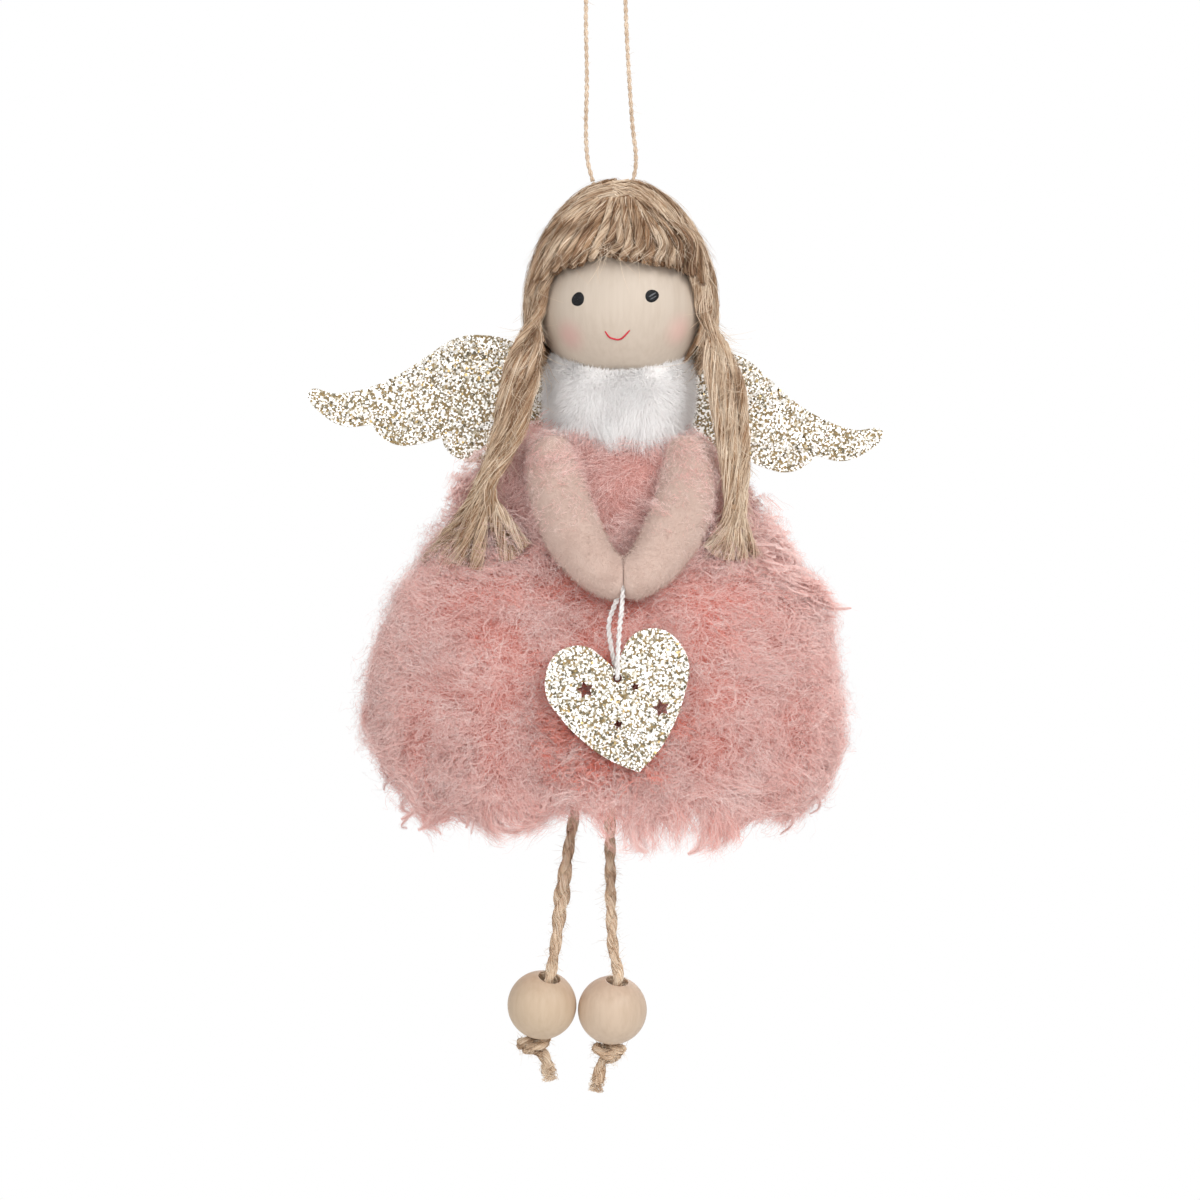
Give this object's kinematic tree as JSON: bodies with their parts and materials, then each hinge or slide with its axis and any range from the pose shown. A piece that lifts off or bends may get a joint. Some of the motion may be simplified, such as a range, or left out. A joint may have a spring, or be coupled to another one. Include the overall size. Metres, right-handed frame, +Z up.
{
  "type": "angel doll",
  "caption": "Hanging angel doll with a wooden ball head, yarn hair, a glitter wing plate, a fur dress, a hanging heart and bead feet.",
  "frame": {"origin": "inside of the bend at the top of the hanging loop, where a hook carries the doll", "axes": "+Z up, +X to the viewer's right when the doll faces the viewer, the doll faces -Y"},
  "size_m": [0.1278, 0.0694, 0.2509],
  "materials": {
    "pale_twine": "thin two-ply twine",
    "jute": "hairy natural jute yarn",
    "pale_wood": "fine sanded, unvarnished",
    "white_plush": "short dense pile",
    "stuffed_felt": "plain felt over stuffing",
    "pink_fur": "long curly pile on a knitted back",
    "peach_fleece": "brushed knit over stuffing",
    "white_cord": "twisted cotton cord",
    "champagne_glitter": "coarse champagne glitter on a board"
  },
  "bodies": {
    "loop": {"hanging_loop": "pale_twine"},
    "doll": {"loop_anchor": "pale_twine", "head_ball": "pale_wood", "hair_cap": "jute", "hair_fringe": "jute", "collar": "white_plush", "body_core": "stuffed_felt", "dress_bodice": "pink_fur", "dress_skirt": "pink_fur", "wings": "champagne_glitter"},
    "tail_left": {"hair_tail_left": "jute", "hair_tie_left": "jute"},
    "tail_right": {"hair_tail_right": "jute", "hair_tie_right": "jute"},
    "arms": {"arm_left": "peach_fleece", "arm_right": "peach_fleece"},
    "heart_string": {"heart_cord": "white_cord", "heart_cord_knot": "white_cord"},
    "heart": {"heart": "champagne_glitter"},
    "leg_top_left": {"leg_knot_left": "jute"},
    "leg_top_right": {"leg_knot_right": "jute"},
    "leg_left": {"leg_cord_left": "jute", "foot_knot_left": "jute"},
    "leg_right": {"leg_cord_right": "jute", "foot_knot_right": "jute"},
    "bead_left": {"foot_bead_left": "pale_wood"},
    "bead_right": {"foot_bead_right": "pale_wood"}
  },
  "joints": [
    {"name": "doll_swing", "type": "hinge", "parent": "loop", "child": "doll", "pos_m": [0.00105, 0, -0.0526], "axis": [1, 0, 0], "range_deg": [-35, 35]},
    {"name": "tail_left_swing", "type": "hinge", "parent": "doll", "child": "tail_left", "pos_m": [-0.0166, -0.008, -0.081], "axis": [0, 1, 0], "range_deg": [0, 50]},
    {"name": "tail_right_swing", "type": "hinge", "parent": "doll", "child": "tail_right", "pos_m": [0.0224, -0.008, -0.083], "axis": [0, 1, 0], "range_deg": [-50, 0]},
    {"name": "arms_lift", "type": "hinge", "parent": "doll", "child": "arms", "pos_m": [0.0025, -0.0106, -0.1116], "axis": [1, 0, 0], "range_deg": [-25, 0]},
    {"name": "heart_string_swing", "type": "hinge", "parent": "arms", "child": "heart_string", "pos_m": [0.0031, -0.032, -0.1392], "axis": [1, 0, 0], "range_deg": [-60, 0]},
    {"name": "heart_turn", "type": "hinge", "parent": "heart_string", "child": "heart", "pos_m": [0.00188, -0.036, -0.15976], "axis": [0, 1, 0], "range_deg": [-20, 20]},
    {"name": "leg_left_swing", "type": "hinge", "parent": "doll", "child": "leg_top_left", "pos_m": [-0.0044, 0, -0.1584], "axis": [1, 0, 0], "range_deg": [-20, 20]},
    {"name": "leg_left_spread", "type": "hinge", "parent": "leg_top_left", "child": "leg_left", "pos_m": [-0.0044, 0, -0.1584], "axis": [0, 1, 0], "range_deg": [0, 30]},
    {"name": "leg_right_swing", "type": "hinge", "parent": "doll", "child": "leg_top_right", "pos_m": [0.0022, 0, -0.1584], "axis": [1, 0, 0], "range_deg": [-20, 20]},
    {"name": "leg_right_spread", "type": "hinge", "parent": "leg_top_right", "child": "leg_right", "pos_m": [0.0022, 0, -0.1584], "axis": [0, 1, 0], "range_deg": [-30, 0]},
    {"name": "bead_left_spin", "type": "hinge", "parent": "leg_left", "child": "bead_left", "pos_m": [-0.01435, 0, -0.2315], "axis": [0.232, -0.4169, 0.8788], "continuous": true},
    {"name": "bead_right_spin", "type": "hinge", "parent": "leg_right", "child": "bead_right", "pos_m": [0.00095, 0, -0.2326], "axis": [0.1449, -0.3549, 0.9236], "continuous": true}
  ]
}
